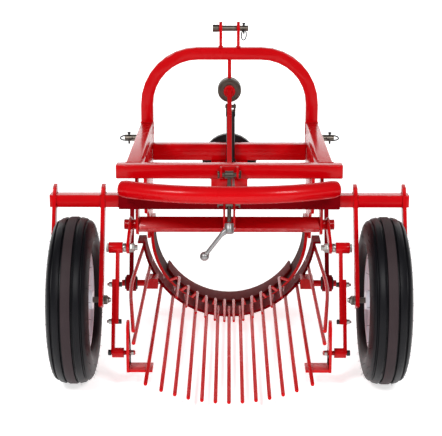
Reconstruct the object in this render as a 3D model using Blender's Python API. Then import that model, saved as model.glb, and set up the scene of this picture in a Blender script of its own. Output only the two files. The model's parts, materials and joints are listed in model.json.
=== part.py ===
"""Mounted potato digger: a three-point headstock frame carries a half-round share in front and a shaken
tine sieve behind it, between two transport wheels. Metres, +Z up, +Y is the travel direction."""

from math import cos, pi, radians, sin, sqrt

import bmesh
import bpy
from mathutils import Matrix, Vector

# Driving dimensions. Depths named *_D are measured ahead of the wheel axle.
AXLE_Y = -0.3385
GAP = 0.0003
TUBE = 0.040
FRAME_HALF = 0.295
FRAME_TOP = 0.590
FRAME_BASE = 0.550
BEAM_D = 0.150
BEAM_HALF = 0.3215
ARCH_D = 0.823
ARCH_TOP = 0.838
ARCH_BEND = 0.170
ARCH_FOOT = 0.500
EAR_IN = 0.024
EAR_THICK = 0.010
EAR_TOP = 0.922
TOP_PIN_Z = 0.900
TOP_PIN_R = 0.0095
HITCH_Z = 0.5325
HITCH_R = 0.011
HITCH_END = 0.352
COLLAR_Z = 0.697
COLLAR_R = 0.039
CROSSBAR_Z = (0.468, 0.5225)
CROSSBAR_D = (0.762, 0.802)
PLATE_X = (0.2556, 0.2656)
SLEEVE_D = 0.125
SLEEVE_Z = 0.490
SLEEVE = 0.045
SLEEVE_HALF = 0.3125
ARM = 0.035
ARM_END = 0.508
TYRE_R = 0.233
TYRE_HALF = 0.0575
RIM_R = 0.145
TRACK_HALF = 0.430
FORK_IN = (0.352, 0.363)
FORK_OUT = (0.490, 0.500)
LIFT_D = 0.174
LIFT_Z = 0.405
LIFT_TUBE = 0.036
LIFT_JOURNAL = 0.015
LINK_TOP = (0.062, 0.367)
LINK_FOOT = (-0.050, 0.095)
LINK_X = 0.315
JACK_TOP = (0.100, 0.569)
JACK_LOW = (0.065, 0.494)
ROCKER_D = 0.500
ROCKER_Z = 0.390
ROCKER_X = 0.305
SIEVE_PIN = (0.400, 0.155)
SIEVE_PIN_R = 0.010
HOOP_R = 0.268
HOOP_Z = 0.302
HOOP_D = (0.440, 0.520)
TINE_R = 0.0055
TINE_PITCH = 0.0355
TAIL_D = -0.215
SHARE_R = 0.250
SHARE_D = (0.600, 0.710)
INPUT_Z = 0.446
FRONT_D = 0.910


def y(ahead):
    return AXLE_Y + ahead


def material(name, colour, roughness, metallic):
    made = bpy.data.materials.new(name)
    made.use_nodes = True
    shader = made.node_tree.nodes["Principled BSDF"]
    shader.inputs["Base Color"].default_value = (*colour, 1)
    shader.inputs["Roughness"].default_value = roughness
    shader.inputs["Metallic"].default_value = metallic
    return made


def helper(bm):
    """A closed shape that is later joined into, or cut from, a sub-part."""
    bmesh.ops.recalc_face_normals(bm, faces=bm.faces)
    mesh = bpy.data.meshes.new("shape")
    bm.to_mesh(mesh)
    bm.free()
    made = bpy.data.objects.new("shape", mesh)
    bpy.context.scene.collection.objects.link(made)
    made.hide_render = True
    made.display_type = "WIRE"
    return made


def loft(rings):
    """Rings of equal length, bridged in order, with both ends filled."""
    bm = bmesh.new()
    made = [[bm.verts.new(point) for point in ring] for ring in rings]
    for first, second in zip(made, made[1:]):
        for i in range(len(first)):
            j = (i + 1) % len(first)
            bm.faces.new((first[i], first[j], second[j], second[i]))
    bm.faces.new(made[0])
    bm.faces.new(made[-1])
    return helper(bm)


def block(xs, ds, zs):
    """A box from ranges of x, depth ahead of the axle and height."""
    (x0, x1), (d0, d1), (z0, z1) = xs, ds, zs
    ring = ((x0, y(d0)), (x1, y(d0)), (x1, y(d1)), (x0, y(d1)))
    return loft([[(a, b, z) for a, b in ring] for z in (z0, z1)])


def plate(xs, outline):
    """A flat plate across X whose outline is given as (depth, height) points."""
    return loft([[(x, y(d), z) for d, z in outline] for x in xs])


def frames(points):
    """Each point with two directions square to the path there."""
    points = [Vector(point) for point in points]
    found = []
    for i, point in enumerate(points):
        ahead = points[min(i + 1, len(points) - 1)] - point
        behind = point - points[max(i - 1, 0)]
        along = (ahead.normalized() + behind.normalized()).normalized()
        guide = Vector((0, 0, 1)) if abs(along.z) < 0.9 else Vector((0, 1, 0))
        side = along.cross(guide).normalized()
        found.append((point, side, side.cross(along)))
    return found


def rod(points, radius, sides=10):
    """A round bar that follows the points."""
    rings = []
    for point, side, up in frames(points):
        turns = [2 * pi * i / sides for i in range(sides)]
        rings.append([point + (side * cos(t) + up * sin(t)) * radius for t in turns])
    return loft(rings)


def pin(xs, at, radius, sides=16):
    """A round bar along X at (depth, height)."""
    return rod([(x, y(at[0]), at[1]) for x in xs], radius, sides)


def strip(path, half, ds):
    """A flat strip along points (x, z), this far each side of them, between two depths."""
    rings = []
    for i, (x, z) in enumerate(path):
        x0, z0 = path[max(i - 1, 0)]
        x1, z1 = path[min(i + 1, len(path) - 1)]
        size = sqrt((x1 - x0) ** 2 + (z1 - z0) ** 2)
        nx, nz = -(z1 - z0) / size * half, (x1 - x0) / size * half
        near, far = y(ds[0]), y(ds[1])
        rings.append(
            [(x - nx, near, z - nz), (x + nx, near, z + nz), (x + nx, far, z + nz), (x - nx, far, z - nz)]
        )
    return loft(rings)


def arc(radius, centre_z, from_deg, to_deg, steps):
    """Points (x, z) of an arc about the mid-plane, in degrees from straight down."""
    turns = [radians(from_deg + (to_deg - from_deg) * i / steps) for i in range(steps + 1)]
    return [(radius * sin(t), centre_z - radius * cos(t)) for t in turns]


def turned(profile, xs_centre, sides):
    """A closed ring turned about the wheel axle from (x, radius) points."""
    bm = bmesh.new()
    rings = []
    for i in range(sides):
        t = 2 * pi * i / sides
        rings.append(
            [bm.verts.new((xs_centre + a, y(0) + r * sin(t), TYRE_R - r * cos(t))) for a, r in profile]
        )
    for i in range(sides):
        first, second = rings[i], rings[(i + 1) % sides]
        for j in range(len(profile)):
            k = (j + 1) % len(profile)
            bm.faces.new((first[j], first[k], second[k], second[j]))
    return helper(bm)


def combine(base, others, operation):
    for other in others:
        step = base.modifiers.new("join", "BOOLEAN")
        step.operation = operation
        step.solver = "EXACT"
        step.object = other
    graph = bpy.context.evaluated_depsgraph_get()
    mesh = bpy.data.meshes.new_from_object(base.evaluated_get(graph))
    base.modifiers.clear()
    base.data = mesh
    for other in others:
        bpy.data.objects.remove(other)


def part(name, finish, shapes, cuts=(), pivot=(0, 0, 0)):
    """One sub-part: its shapes joined, its cuts taken away, its origin on its own axis."""
    base = shapes[0]
    if shapes[1:]:
        combine(base, shapes[1:], "UNION")
    if cuts:
        combine(base, cuts, "DIFFERENCE")
    base.name = name
    base.data.name = name
    base.hide_render = False
    base.display_type = "TEXTURED"
    base.data.transform(Matrix.Translation(-Vector(pivot)))
    base.location = pivot
    base.data.materials.clear()
    base.data.materials.append(finish)
    base.data.shade_smooth()
    base.data.set_sharp_from_angle(angle=radians(35))
    return base


def sides():
    return (("left", -1), ("right", 1))


def span(side, low, high):
    """A range of distances from the mid-plane, on one side."""
    return (side * low, side * high)


def headstock(red, steel):
    mid = FRAME_HALF - TUBE / 2
    top = ARCH_TOP - TUBE / 2
    bend = [radians(90 * i / 8) for i in range(9)]
    left = [(-mid + ARCH_BEND * (1 - cos(t)), top - ARCH_BEND + ARCH_BEND * sin(t)) for t in bend]
    right = [(-x, z) for x, z in reversed(left)]
    path = [(-mid, ARCH_FOOT), *left, *right, (mid, ARCH_FOOT)]
    part("headstock_arch", red, [strip(path, TUBE / 2, (ARCH_D - TUBE / 2, ARCH_D + TUBE / 2))])
    for name, side in sides():
        ear = [(ARCH_D - 0.02, ARCH_TOP + GAP), (ARCH_D + 0.02, ARCH_TOP + GAP)]
        crown = [radians(180 * i / 6) for i in range(7)]
        ear += [(ARCH_D + 0.02 * cos(t), EAR_TOP - 0.02 + 0.02 * sin(t)) for t in crown]
        xs = span(side, EAR_IN, EAR_IN + EAR_THICK)
        hole = pin(span(side, 0.01, 0.05), (ARCH_D, TOP_PIN_Z), TOP_PIN_R + GAP)
        part(f"top_link_ear_{name}", red, [plate(xs, ear)], [hole])
        at = (ARCH_D, HITCH_Z)
        shoulder = pin(span(side, FRAME_HALF + GAP, 0.303), at, 0.019)
        stub = pin(span(side, 0.300, HITCH_END), at, HITCH_R)
        part(f"{name}_hitch_pin", steel, [shoulder, stub])
    head = pin((-0.056, -0.0345), (ARCH_D, TOP_PIN_Z), 0.0125)
    shank = pin((-0.040, 0.062), (ARCH_D, TOP_PIN_Z), TOP_PIN_R)
    part("top_link_pin", steel, [head, shank])


def main_frame(red):
    rail_ds = (BEAM_D + TUBE / 2 + GAP, ARCH_D - TUBE / 2 - GAP)
    beam_ds = (BEAM_D - TUBE / 2, BEAM_D + TUBE / 2)
    part("rear_crossbeam", red, [block((-BEAM_HALF, BEAM_HALF), beam_ds, (FRAME_BASE, FRAME_TOP))])
    for name, side in sides():
        rail = block(span(side, FRAME_HALF - TUBE, FRAME_HALF), rail_ds, (FRAME_BASE, FRAME_TOP))
        part(f"{name}_rail", red, [rail])
        ceiling = FRAME_BASE - GAP
        outline = [(0.455, ceiling), (0.802, ceiling), (0.802, 0.465), (0.735, 0.330), (0.725, 0.245)]
        outline += [(0.595, 0.245), (0.585, 0.320), (0.520, 0.355), (0.470, 0.360), (0.455, 0.390)]
        bore = pin(span(side, 0.24, 0.28), (ROCKER_D, ROCKER_Z), 0.0135)
        part(f"{name}_side_plate", red, [plate(span(side, *PLATE_X), outline)], [bore])
        gusset = [(0.1482, ceiling), (0.205, ceiling), (0.205, 0.405), (0.195, 0.382), (0.174, 0.374)]
        gusset += [(0.153, 0.382), (0.1482, 0.400)]
        bore = pin(span(side, 0.25, 0.28), (LIFT_D, LIFT_Z), LIFT_JOURNAL + GAP)
        part(f"{name}_gusset", red, [plate(span(side, 0.261, 0.269), gusset)], [bore])
    crossbar = block((-PLATE_X[0] + GAP, PLATE_X[0] - GAP), CROSSBAR_D, CROSSBAR_Z)
    part("front_crossbar", red, [crossbar])
    half = SLEEVE / 2
    ds = (SLEEVE_D - half, SLEEVE_D + half)
    zs = (SLEEVE_Z - half, SLEEVE_Z + half)
    inner = ARM / 2 + 0.0005
    bore = block((-0.4, 0.4), (SLEEVE_D - inner, SLEEVE_D + inner), (SLEEVE_Z - inner, SLEEVE_Z + inner))
    part("wheel_cross_tube", red, [block((-SLEEVE_HALF, SLEEVE_HALF), ds, zs)], [bore])
    bow = [(-0.300 + 0.6 * i / 16) for i in range(17)]
    path = [(x, y(0.001 + 0.076 * abs(x / 0.300) ** 2.4), 0.534) for x in bow]
    part("curved_tube", red, [rod(path, 0.0245, 12)])


def drive_line(red, steel, black):
    strut = block((-0.006, 0.006), (ARCH_D - 0.015, ARCH_D + 0.015), (0.732, ARCH_TOP - TUBE - GAP))
    part("top_strut", red, [strut], [rod([(0, y(0.7), COLLAR_Z), (0, y(0.9), COLLAR_Z)], COLLAR_R + GAP, 24)])
    ring = rod([(0, y(0.795), COLLAR_Z), (0, y(0.845), COLLAR_Z)], COLLAR_R, 24)
    bore = rod([(0, y(0.78), COLLAR_Z), (0, y(0.86), COLLAR_Z)], 0.0195, 16)
    part("hub_collar", steel, [ring], [bore])
    boss = rod([(0, y(0.770), COLLAR_Z), (0, y(0.850), COLLAR_Z)], 0.019, 16)
    arm = [(0.1704, 0.575), (0.1704, 0.5895), (0.785, 0.712), (0.785, 0.682), (0.230, 0.570)]
    part("rear_brace", red, [plate((-0.007, 0.007), arm), boss])
    housing = block((-0.060, 0.060), (0.700, 0.835), (0.375, CROSSBAR_Z[0] - GAP))
    bearing = rod([(0, y(0.83), INPUT_Z), (0, y(0.86), INPUT_Z)], 0.032, 16)
    pocket = block((-0.030, 0.030), (0.690, 0.760), (0.415, 0.455))
    bore = rod([(0, y(0.79), INPUT_Z), (0, y(0.87), INPUT_Z)], 0.0180, 16)
    part("drive_housing", red, [housing, bearing], [pocket, bore])
    disc = rod([(0, y(0.862), INPUT_Z), (0, y(0.888), INPUT_Z)], 0.092, 28)
    bore = rod([(0, y(0.85), INPUT_Z), (0, y(0.90), INPUT_Z)], 0.0330, 16)
    part("guard_disc", black, [disc], [bore])
    stub = rod([(0, y(0.800), INPUT_Z), (0, y(FRONT_D), INPUT_Z)], 0.0175, 16)
    part("input_stub", steel, [stub], pivot=(0, y(0.85), INPUT_Z))
    low = Vector((0.004, y(0.715), 0.4700))
    high = Vector((0.004, y(0.775), 0.650))
    tube = rod([low + (high - low) * t for t in (0.02, 0.90)], 0.0145, 12)
    yoke = rod([low + (high - low) * t for t in (0.86, 1.0)], 0.019, 12)
    part("drive_shaft", black, [tube, yoke])


def wheels(red, steel, white, tyre_black):
    for name, side in sides():
        axis = (side * TRACK_HALF, y(0), TYRE_R)
        half = ARM / 2
        bar = block(
            span(side, 0.120, ARM_END),
            (SLEEVE_D - half, SLEEVE_D + half),
            (SLEEVE_Z - half, SLEEVE_Z + half),
        )
        reach = sqrt(SLEEVE_D**2 + (SLEEVE_Z - TYRE_R) ** 2)
        ux, uz = SLEEVE_D / reach, (SLEEVE_Z - TYRE_R) / reach
        wide = 0.019
        outline = [(-wide * uz + -0.020 * ux, TYRE_R + wide * ux - 0.020 * uz)]
        outline += [(wide * uz - 0.020 * ux, TYRE_R - wide * ux - 0.020 * uz)]
        outline += [(wide * uz + (reach + 0.030) * ux, TYRE_R - wide * ux + (reach + 0.030) * uz)]
        outline += [(0.004 * uz + (reach + 0.048) * ux, TYRE_R - 0.004 * ux + (reach + 0.048) * uz)]
        outline += [(-wide * uz + (reach + 0.030) * ux, TYRE_R + wide * ux + (reach + 0.030) * uz)]
        flats = [plate(span(side, *xs), outline) for xs in (FORK_IN, FORK_OUT)]
        bore = pin(span(side, 0.33, 0.52), (0, TYRE_R), 0.0083)
        part(f"{name}_wheel_arm", red, [bar, *flats], [bore])
        shank = pin(span(side, 0.334, 0.508), (0, TYRE_R), 0.008)
        nuts = [pin(span(side, *xs), (0, TYRE_R), 0.0135, 6) for xs in ((0.3405, 0.3515), (0.5005, 0.508))]
        part(f"{name}_axle", steel, [shank, *nuts])
        tread = [(-0.030, RIM_R + GAP), (-0.050, 0.158), (-TYRE_HALF, 0.190), (-0.047, 0.221)]
        tread += [(-0.028, 0.2305), (0, TYRE_R), (0.028, 0.2305), (0.047, 0.221), (TYRE_HALF, 0.190)]
        tread += [(0.050, 0.158), (0.030, RIM_R + GAP)]
        part(f"{name}_tyre", tyre_black, [turned(tread, axis[0], 32)], pivot=axis)
        rim = [(-0.036, RIM_R), (-0.036, 0.134), (-0.010, 0.128), (-0.006, 0.030)]
        rim += [(-0.050, 0.026), (-0.050, 0.0086), (0.050, 0.0086), (0.050, 0.026), (0.006, 0.030)]
        rim += [(0.010, 0.128), (0.036, 0.134), (0.036, RIM_R)]
        part(f"{name}_rim", white, [turned(rim, axis[0], 32)], pivot=axis)


def lift_gear(red, steel):
    axis = (0, y(LIFT_D), LIFT_Z)
    half = LIFT_TUBE / sqrt(2)
    square = [(LIFT_D + half * cos(t), LIFT_Z + half * sin(t)) for t in (radians(12 + 90 * i) for i in range(4))]
    bar = plate((-0.2603, 0.2603), square)
    journal = pin((-0.3035, 0.3035), (LIFT_D, LIFT_Z), LIFT_JOURNAL)
    part("lift_tube", red, [bar, journal], pivot=axis)
    for name, side in sides():
        back = [(LIFT_D + 0.022 * cos(t), LIFT_Z + 0.022 * sin(t)) for t in (radians(-70 + 45 * i) for i in range(5))]
        tip = [
            (LINK_TOP[0] + 0.017 * cos(t), LINK_TOP[1] + 0.017 * sin(t))
            for t in (radians(110 + 45 * i) for i in range(5))
        ]
        eye = pin(span(side, 0.27, 0.31), (LIFT_D, LIFT_Z), LIFT_JOURNAL + GAP)
        hole = pin(span(side, 0.27, 0.31), LINK_TOP, 0.0085)
        part(f"{name}_lever", red, [plate(span(side, 0.281, 0.289), back + tip)], [eye, hole])
        shank = pin(span(side, 0.258, 0.3455), LINK_TOP, 0.0078)
        heads = [pin(span(side, *xs), LINK_TOP, 0.0135, 6) for xs in ((0.268, 0.2795), (0.339, 0.3455))]
        spacer = pin(span(side, 0.2905, 0.2985), LINK_TOP, 0.013)
        part(f"{name}_link_bolt", steel, [shank, *heads, spacer])
        link_bar(name, side, red)
    lug = [(0.168, 0.430), (0.150, 0.440), (0.079, 0.447), (0.078, 0.498), (0.070, 0.507), (0.058, 0.507)]
    lug += [(0.050, 0.498), (0.050, 0.452), (0.062, 0.426), (0.152, 0.395)]
    lugs = [plate(span(side, 0.011, 0.017), lug) for _, side in sides()]
    foot = plate((-0.0165, 0.0165), [(0.168, 0.429), (0.140, 0.436), (0.130, 0.405), (0.152, 0.396)])
    hole = pin((-0.03, 0.03), JACK_LOW, 0.0065)
    grown = half + 2 * GAP
    seat = [(LIFT_D + grown * cos(t), LIFT_Z + grown * sin(t)) for t in (radians(12 + 90 * i) for i in range(4))]
    part("jack_lower_lugs", red, [foot, *lugs], [hole, plate((-0.03, 0.03), seat)])


def link_bar(name, side, red):
    (top_d, top_z), (low_d, low_z) = LINK_TOP, LINK_FOOT
    reach = sqrt((top_d - low_d) ** 2 + (top_z - low_z) ** 2)
    ux, uz = (low_d - top_d) / reach, (low_z - top_z) / reach

    def flat(start, end, xs, wide):
        ends = ((start, -1), (start, 1), (end, 1), (end, -1))
        outline = [(top_d + a * ux - s * wide * uz, top_z + a * uz + s * wide * ux) for a, s in ends]
        return plate(span(side, *xs), outline)

    upper = flat(0.0, 0.215, (0.3085, 0.3185), 0.0125)
    lower = flat(0.090, reach, (0.3180, 0.3275), 0.0115)
    top_bush = pin(span(side, 0.3000, 0.3385), LINK_TOP, 0.016)
    foot_bush = pin(span(side, 0.2925, 0.3250), LINK_FOOT, 0.014)
    bolt = pin(span(side, 0.262, 0.333), LINK_FOOT, 0.0065)
    hole = pin(span(side, 0.28, 0.36), LINK_TOP, 0.0085)
    part(f"{name}_link", red, [upper, lower, top_bush, foot_bush, bolt], [hole])


def jack(red, steel):
    lugs = []
    for side in (-1, 1):
        outline = [(0.1297, 0.588), (0.1297, 0.552), (0.100, 0.553), (0.088, 0.565), (0.092, 0.580), (0.104, 0.588)]
        lugs.append(plate(span(side, 0.020, 0.026), outline))
    back = block((-0.026, 0.026), (0.122, 0.1297), (0.553, 0.588))
    hole = pin((-0.04, 0.04), JACK_TOP, 0.0065)
    part("jack_upper_lugs", red, [back, *lugs], [hole])
    top = Vector((0, y(JACK_TOP[0]), JACK_TOP[1]))
    low = Vector((0, y(JACK_LOW[0]), JACK_LOW[1]))
    along = (low - top).normalized()
    spindle = rod([top, low + along * 0.072], 0.0060, 12)
    head = pin((-0.030, 0.030), JACK_TOP, 0.0062, 12)
    block_pin = pin((-0.012, 0.012), JACK_TOP, 0.0100, 12)
    hub = low + along * 0.070
    boss = rod([hub - along * 0.010, hub + along * 0.012], 0.013, 12)
    knob = hub + Vector((-0.069, -0.010, -0.078))
    arm = rod([hub, hub + Vector((-0.030, -0.008, -0.028)), knob], 0.0065, 10)
    ball = rod([knob + Vector((0, 0, h)) for h in (0.010, -0.016)], 0.012, 12)
    part("jack_screw", steel, [spindle, head, block_pin, boss, arm, ball], pivot=tuple(top))
    nut = pin((-0.0105, 0.0105), JACK_LOW, 0.0115, 12)
    trunnion = pin((-0.020, 0.020), JACK_LOW, 0.0060, 12)
    bore = rod([low - along * 0.05, low + along * 0.05], 0.0079, 12)
    part("jack_nut", steel, [nut, trunnion], [bore], pivot=tuple(low))


def sieve(red, dark, steel, rubber):
    shaft_at = (ROCKER_D, ROCKER_Z)
    shaft = pin((-0.320, 0.320), shaft_at, 0.0130)
    shapes = [shaft]
    cuts = []
    for _, side in sides():
        arm = [(0.486, 0.405), (0.514, 0.405), (0.414, 0.160), (0.386, 0.160)]
        shapes.append(plate(span(side, 0.299, 0.311), arm))
        shapes.append(pin(span(side, 0.290, 0.320), SIEVE_PIN, 0.026))
        cuts.append(pin(span(side, 0.28, 0.33), SIEVE_PIN, 0.0205))
    shapes.append(plate((-0.008, 0.008), [(0.488, 0.390), (0.512, 0.390), (0.512, 0.447), (0.488, 0.447)]))
    part("rocker_shaft", dark, shapes, cuts, pivot=(0, y(ROCKER_D), ROCKER_Z))
    rod_bar = block((0.0095, 0.0175), (0.490, 0.742), (0.427, 0.443))
    rod_pin = pin((0.0090, 0.0175), (0.500, 0.435), 0.0115)
    part("connecting_rod", steel, [rod_bar, rod_pin], pivot=(0.013, y(0.500), 0.435))
    for name, side in sides():
        ring = pin(span(side, 0.286, 0.324), SIEVE_PIN, 0.0200)
        bore = pin(span(side, 0.27, 0.34), SIEVE_PIN, SIEVE_PIN_R + GAP)
        part(f"{name}_bush", rubber, [ring], [bore], pivot=(side * ROCKER_X, y(SIEVE_PIN[0]), SIEVE_PIN[1]))
    basket(red)
    sieve_brackets(red)


def sieve_brackets(red):
    outline = [(-0.080, 0.047), (-0.020, 0.047), (-0.018, 0.110), (-0.028, 0.150), (-0.034, 0.178)]
    outline += [(-0.045, 0.190), (-0.062, 0.188), (-0.072, 0.175), (-0.075, 0.140), (-0.080, 0.110)]
    for name, side in sides():
        upright = plate(span(side, 0.276, 0.284), outline)
        flange = block(span(side, 0.212, 0.280), (-0.079, -0.021), (0.0475, 0.0550))
        hole = pin(span(side, 0.26, 0.30), LINK_FOOT, 0.0095)
        part(f"{name}_sieve_bracket", red, [upright, flange], [hole])


def tine_start(x):
    return HOOP_Z - sqrt(HOOP_R**2 - x**2) + 0.001


def basket(red):
    shapes = [strip(arc(HOOP_R, HOOP_Z, -84, 84, 28), 0.004, HOOP_D)]
    for i in range(-6, 7):
        x = i * TINE_PITCH
        start = (x, y(HOOP_D[1] - 0.02), tine_start(x))
        if abs(i) == 6:
            tail = (x / abs(x) * 0.226, y(-0.170), 0.049)
        else:
            tail = (x * 1.02, y(TAIL_D), 0.016 + 0.034 * (i / 5) ** 2)
        shapes.append(rod([start, tail], TINE_R, 8))
    for _, side in sides():
        x = side * 0.2480
        shapes.append(rod([(x, y(0.500), tine_start(x)), (side * 0.2640, y(-0.070), 0.130)], TINE_R, 8))
        bend = (side * 0.290, y(0.170), 0.215)
        tail = (side * 0.2640, y(-0.070), 0.166)
        shapes.append(rod([(side * 0.2655, y(0.500), 0.262), bend, tail], TINE_R, 8))
        block_ds = (0.388, 0.446)
        shapes.append(block(span(side, 0.222, 0.262), block_ds, (0.139, 0.171)))
        shapes.append(pin(span(side, 0.255, 0.334), SIEVE_PIN, SIEVE_PIN_R))
        shapes.append(block(span(side, 0.216, 0.246), (0.430, 0.500), (0.145, 0.166)))
    axis = (0, y(SIEVE_PIN[0]), SIEVE_PIN[1])
    part("sieve_basket", red, shapes, pivot=axis)


def share(red, dark):
    rise = arc(SHARE_R, 0.255, -90, 90, 30)
    path = [(-SHARE_R, 0.300), *rise, (SHARE_R, 0.300)]
    shapes = [strip(path, 0.005, SHARE_D)]
    for i in range(-6, 7):
        x = i * TINE_PITCH + (TINE_PITCH / 2)
        if x > 0.215:
            continue
        drop = sqrt(SHARE_R**2 - x**2)
        inset = (SHARE_R - 0.043) / SHARE_R
        foot = (x, y(0.606), 0.255 - drop)
        rise_at = (x * inset, y(0.556), 0.255 - drop * inset)
        shapes.append(rod([foot, rise_at, (x * inset, y(0.345), 0.255 - drop * inset)], 0.0050, 8))
    part("share_hoop", dark, shapes)
    edge = arc(SHARE_R - 0.0093, 0.255, -58, 58, 20)
    part("share_blade", red, [strip(edge, 0.004, (0.640, 0.735))])


def main():
    for old in list(bpy.data.objects):
        bpy.data.objects.remove(old)
    red = material("red_paint", (0.75, 0.01, 0.02), 0.25, 0.0)
    dark = material("dark_red_paint", (0.22, 0.01, 0.015), 0.4, 0.0)
    steel = material("zinc_steel", (0.55, 0.54, 0.50), 0.35, 1.0)
    black = material("black_moulding", (0.01, 0.01, 0.01), 0.45, 0.0)
    rubber = material("black_rubber", (0.012, 0.012, 0.013), 0.6, 0.0)
    white = material("white_rim_paint", (0.80, 0.80, 0.82), 0.4, 0.0)
    headstock(red, steel)
    main_frame(red)
    drive_line(red, steel, black)
    wheels(red, steel, white, rubber)
    lift_gear(red, steel)
    jack(red, steel)
    sieve(red, dark, steel, rubber)
    share(red, dark)


main()
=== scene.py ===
import json
from math import cos, pi, radians, sin, sqrt

import bmesh
import bpy
from mathutils import Matrix, Vector


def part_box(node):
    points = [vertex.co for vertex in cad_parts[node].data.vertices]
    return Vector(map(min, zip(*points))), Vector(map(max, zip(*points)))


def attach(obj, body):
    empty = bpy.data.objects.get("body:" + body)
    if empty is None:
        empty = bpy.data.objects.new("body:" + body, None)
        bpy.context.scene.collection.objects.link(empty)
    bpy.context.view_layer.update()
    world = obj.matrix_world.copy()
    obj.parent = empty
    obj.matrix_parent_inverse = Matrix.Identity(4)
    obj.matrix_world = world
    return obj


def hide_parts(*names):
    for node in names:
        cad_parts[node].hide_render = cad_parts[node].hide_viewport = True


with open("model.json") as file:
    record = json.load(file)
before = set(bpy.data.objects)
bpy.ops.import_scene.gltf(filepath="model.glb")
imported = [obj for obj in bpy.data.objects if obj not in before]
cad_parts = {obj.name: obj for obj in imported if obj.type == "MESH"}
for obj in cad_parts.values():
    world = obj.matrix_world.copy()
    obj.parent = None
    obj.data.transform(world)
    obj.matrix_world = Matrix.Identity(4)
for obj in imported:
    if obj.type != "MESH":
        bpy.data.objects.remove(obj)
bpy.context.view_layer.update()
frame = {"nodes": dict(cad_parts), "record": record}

cad = frame["nodes"]
bodyOf = {node: body for body, nodes in frame["record"]["behaviour"]["bodies"].items() for node in nodes}
slotOf = {entry["node"]: entry["material_slot"] for entry in frame["record"]["subparts"]}
sides = (("left", -1), ("right", 1))


def centreOf(node):
    low, high = (Vector(corner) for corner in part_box(node))
    return (low + high) / 2


axle = centreOf("left_tyre").y
wheelHeight = centreOf("left_tyre").z
trackHalf = abs(centreOf("left_tyre").x)


def newGroup(name, inputs, outputs):
    group = bpy.data.node_groups.new(name, "ShaderNodeTree")
    for label, kind, value in inputs:
        socket = group.interface.new_socket(label, in_out="INPUT", socket_type=kind)
        socket.default_value = value
    for label, kind in outputs:
        group.interface.new_socket(label, in_out="OUTPUT", socket_type=kind)
    return group, group.nodes.new("NodeGroupInput"), group.nodes.new("NodeGroupOutput")


def addNode(tree, kind, values=None, **settings):
    node = tree.nodes.new(kind)
    for key, value in settings.items():
        setattr(node, key, value)
    for key, value in (values or {}).items():
        node.inputs[key].default_value = value
    return node


def makeGrainGroup():
    # speckle, broad tone and a fine height for paint, casting and rubber
    group, start, end = newGroup(
        "surfaceGrain",
        (("Fine Scale", "NodeSocketFloat", 900.0), ("Broad Scale", "NodeSocketFloat", 7.0)),
        (("Tone", "NodeSocketFloat"), ("Height", "NodeSocketFloat")),
    )
    place = addNode(group, "ShaderNodeTexCoord")
    fine = addNode(group, "ShaderNodeTexNoise", {"Detail": 3.0, "Roughness": 0.55})
    broad = addNode(group, "ShaderNodeTexNoise", {"Detail": 4.0, "Roughness": 0.6})
    link = group.links.new
    link(place.outputs["Object"], fine.inputs["Vector"])
    link(place.outputs["Object"], broad.inputs["Vector"])
    link(start.outputs["Fine Scale"], fine.inputs["Scale"])
    link(start.outputs["Broad Scale"], broad.inputs["Scale"])
    link(broad.outputs["Fac"], end.inputs["Tone"])
    link(fine.outputs["Fac"], end.inputs["Height"])
    return group


def makeWearGroup():
    # chipped edges and settled dust as two masks
    group, start, end = newGroup(
        "edgeWear",
        (
            ("Edge", "NodeSocketFloat", 0.56),
            ("Chip Scale", "NodeSocketFloat", 140.0),
            ("Dust", "NodeSocketFloat", 0.2),
        ),
        (("Worn", "NodeSocketFloat"), ("Dusty", "NodeSocketFloat")),
    )
    link = group.links.new
    place = addNode(group, "ShaderNodeTexCoord")
    shape = addNode(group, "ShaderNodeNewGeometry")
    chips = addNode(group, "ShaderNodeTexNoise", {"Detail": 5.0, "Roughness": 0.7})
    link(place.outputs["Object"], chips.inputs["Vector"])
    link(start.outputs["Chip Scale"], chips.inputs["Scale"])
    raised = addNode(group, "ShaderNodeMath", operation="SUBTRACT")
    link(shape.outputs["Pointiness"], raised.inputs[0])
    link(start.outputs["Edge"], raised.inputs[1])
    steep = addNode(group, "ShaderNodeMath", {1: 14.0}, operation="MULTIPLY", use_clamp=True)
    link(raised.outputs[0], steep.inputs[0])
    patch = addNode(group, "ShaderNodeMapRange", {"From Min": 0.50, "From Max": 0.62})
    link(chips.outputs["Fac"], patch.inputs["Value"])
    worn = addNode(group, "ShaderNodeMath", operation="MULTIPLY", use_clamp=True)
    link(steep.outputs[0], worn.inputs[0])
    link(patch.outputs[0], worn.inputs[1])
    link(worn.outputs[0], end.inputs["Worn"])
    split = addNode(group, "ShaderNodeSeparateXYZ")
    link(shape.outputs["Normal"], split.inputs[0])
    cloud = addNode(group, "ShaderNodeTexNoise", {"Scale": 18.0, "Detail": 6.0, "Roughness": 0.7})
    link(place.outputs["Object"], cloud.inputs["Vector"])
    lying = addNode(group, "ShaderNodeMath", operation="MULTIPLY", use_clamp=True)
    link(split.outputs["Z"], lying.inputs[0])
    link(cloud.outputs["Fac"], lying.inputs[1])
    dusty = addNode(group, "ShaderNodeMath", operation="MULTIPLY", use_clamp=True)
    link(lying.outputs[0], dusty.inputs[0])
    link(start.outputs["Dust"], dusty.inputs[1])
    link(dusty.outputs[0], end.inputs["Dusty"])
    return group


grainGroup = makeGrainGroup()
wearGroup = makeWearGroup()


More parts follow.
